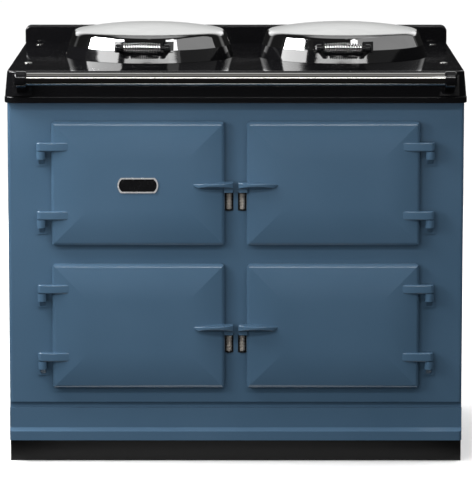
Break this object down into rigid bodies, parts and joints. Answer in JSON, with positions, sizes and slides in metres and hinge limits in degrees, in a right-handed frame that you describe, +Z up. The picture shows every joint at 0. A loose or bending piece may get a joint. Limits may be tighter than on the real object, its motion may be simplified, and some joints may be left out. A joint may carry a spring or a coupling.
{
  "type": "range cooker",
  "caption": "Cast iron heat-storage range cooker with pillowed oven doors, round hotplates under hinged insulating lids, and a front hand rail.",
  "frame": {"origin": "middle of the whole cooker's plan, on the floor", "axes": "+X to the right seen from the front, +Y to the back, +Z up"},
  "size_m": [0.987, 0.759, 0.925],
  "materials": {
    "plinth_paint": "satin black paint",
    "steel": "plain steel",
    "raw_iron": "as cast, painted dark",
    "blue_enamel": "vitreous enamel, gloss, slate blue",
    "galvanised": "galvanised sheet",
    "black_enamel": "vitreous enamel, high gloss black",
    "machined_iron": "machined face, seasoned",
    "bright_steel": "bright",
    "insulation_fill": "mineral wool",
    "chrome": "polished",
    "black_cast": "gloss black enamel on casting",
    "oven_iron": "dark oven enamel",
    "catch_black": "black",
    "badge_metal": "polished rim, dark field",
    "aluminised": "satin sheet",
    "seal_rope": "woven rope",
    "knob_black": "black",
    "coil_steel": "bright wire"
  },
  "bodies": {
    "carcass": {"plinth": "plinth_paint", "levelling_feet": "steel", "base_plate": "raw_iron", "skirt": "blue_enamel", "front_plate": "blue_enamel", "door_hinge_pins": "steel", "catch_housings": "catch_black", "side_panel_left": "blue_enamel", "side_panel_right": "blue_enamel", "back_panel": "galvanised", "top_plate": "black_enamel", "rear_upstand": "black_enamel", "hotplate_left": "machined_iron", "hotplate_right": "machined_iron", "hotplate_rings": "bright_steel", "heater_pans": "galvanised", "insulation": "insulation_fill", "hand_rail": "chrome", "rail_bracket_left": "black_cast", "rail_bracket_right": "black_cast", "control_box": "galvanised", "oven_top_right": "oven_iron", "oven_bottom_right": "oven_iron", "oven_bottom_left": "oven_iron", "oven_shelves": "steel", "lid_hinge_blocks": "black_cast", "lid_hinge_pins": "steel"},
    "door_top_left_body": {"door_top_left": "blue_enamel", "door_plug_top_left": "aluminised", "door_seal_top_left": "seal_rope", "badge_plate": "badge_metal"},
    "door_top_right_body": {"door_top_right": "blue_enamel", "door_plug_top_right": "aluminised", "door_seal_top_right": "seal_rope"},
    "door_bottom_left_body": {"door_bottom_left": "blue_enamel", "door_plug_bottom_left": "aluminised", "door_seal_bottom_left": "seal_rope"},
    "door_bottom_right_body": {"door_bottom_right": "blue_enamel", "door_plug_bottom_right": "aluminised", "door_seal_bottom_right": "seal_rope"},
    "control_knob_1_body": {"control_knob_1": "knob_black"},
    "control_knob_2_body": {"control_knob_2": "knob_black"},
    "control_knob_3_body": {"control_knob_3": "knob_black"},
    "catch_roller_top_left_body": {"catch_roller_top_left": "bright_steel"},
    "catch_roller_top_right_body": {"catch_roller_top_right": "bright_steel"},
    "catch_roller_bottom_left_body": {"catch_roller_bottom_left": "bright_steel"},
    "catch_roller_bottom_right_body": {"catch_roller_bottom_right": "bright_steel"},
    "lid_left_body": {"lid_dome_left": "chrome", "lid_base_ring_left": "black_enamel", "lid_liner_left": "aluminised", "lid_hinge_arm_left": "black_cast", "lid_handle_left": "black_cast", "lid_coil_left": "coil_steel"},
    "lid_right_body": {"lid_dome_right": "chrome", "lid_base_ring_right": "black_enamel", "lid_liner_right": "aluminised", "lid_hinge_arm_right": "black_cast", "lid_handle_right": "black_cast", "lid_coil_right": "coil_steel"}
  },
  "joints": [
    {"name": "door_top_left_hinge", "type": "hinge", "parent": "carcass", "child": "door_top_left_body", "pos_m": [-0.4162, -0.3075, 0.60862], "axis": [0, 0, -1], "range_deg": [0, 120]},
    {"name": "door_top_right_hinge", "type": "hinge", "parent": "carcass", "child": "door_top_right_body", "pos_m": [0.4162, -0.3075, 0.60862], "axis": [0, 0, 1], "range_deg": [0, 120]},
    {"name": "door_bottom_left_hinge", "type": "hinge", "parent": "carcass", "child": "door_bottom_left_body", "pos_m": [-0.4162, -0.3075, 0.29938], "axis": [0, 0, -1], "range_deg": [0, 120]},
    {"name": "door_bottom_right_hinge", "type": "hinge", "parent": "carcass", "child": "door_bottom_right_body", "pos_m": [0.4162, -0.3075, 0.29938], "axis": [0, 0, 1], "range_deg": [0, 120]},
    {"name": "control_knob_1_turn", "type": "hinge", "parent": "carcass", "child": "control_knob_1_body", "pos_m": [-0.2931, -0.2285, 0.60862], "axis": [0, -1, 0], "range_deg": [0, 270]},
    {"name": "control_knob_2_turn", "type": "hinge", "parent": "carcass", "child": "control_knob_2_body", "pos_m": [-0.2091, -0.2285, 0.60862], "axis": [0, -1, 0], "range_deg": [0, 270]},
    {"name": "control_knob_3_turn", "type": "hinge", "parent": "carcass", "child": "control_knob_3_body", "pos_m": [-0.1251, -0.2285, 0.60862], "axis": [0, -1, 0], "range_deg": [0, 270]},
    {"name": "catch_roller_top_left_spin", "type": "hinge", "parent": "carcass", "child": "catch_roller_top_left_body", "pos_m": [-0.0143, -0.2895, 0.56912], "axis": [0, 0, 1], "continuous": true},
    {"name": "catch_roller_top_right_spin", "type": "hinge", "parent": "carcass", "child": "catch_roller_top_right_body", "pos_m": [0.0143, -0.2895, 0.56912], "axis": [0, 0, 1], "continuous": true},
    {"name": "catch_roller_bottom_left_spin", "type": "hinge", "parent": "carcass", "child": "catch_roller_bottom_left_body", "pos_m": [-0.0143, -0.2895, 0.25988], "axis": [0, 0, 1], "continuous": true},
    {"name": "catch_roller_bottom_right_spin", "type": "hinge", "parent": "carcass", "child": "catch_roller_bottom_right_body", "pos_m": [0.0143, -0.2895, 0.25988], "axis": [0, 0, 1], "continuous": true},
    {"name": "lid_left_hinge", "type": "hinge", "parent": "carcass", "child": "lid_left_body", "pos_m": [-0.1925, 0.246, 0.873], "axis": [-1, 0, 0], "range_deg": [0, 95]},
    {"name": "lid_right_hinge", "type": "hinge", "parent": "carcass", "child": "lid_right_body", "pos_m": [0.2373, 0.246, 0.873], "axis": [-1, 0, 0], "range_deg": [0, 95]}
  ]
}
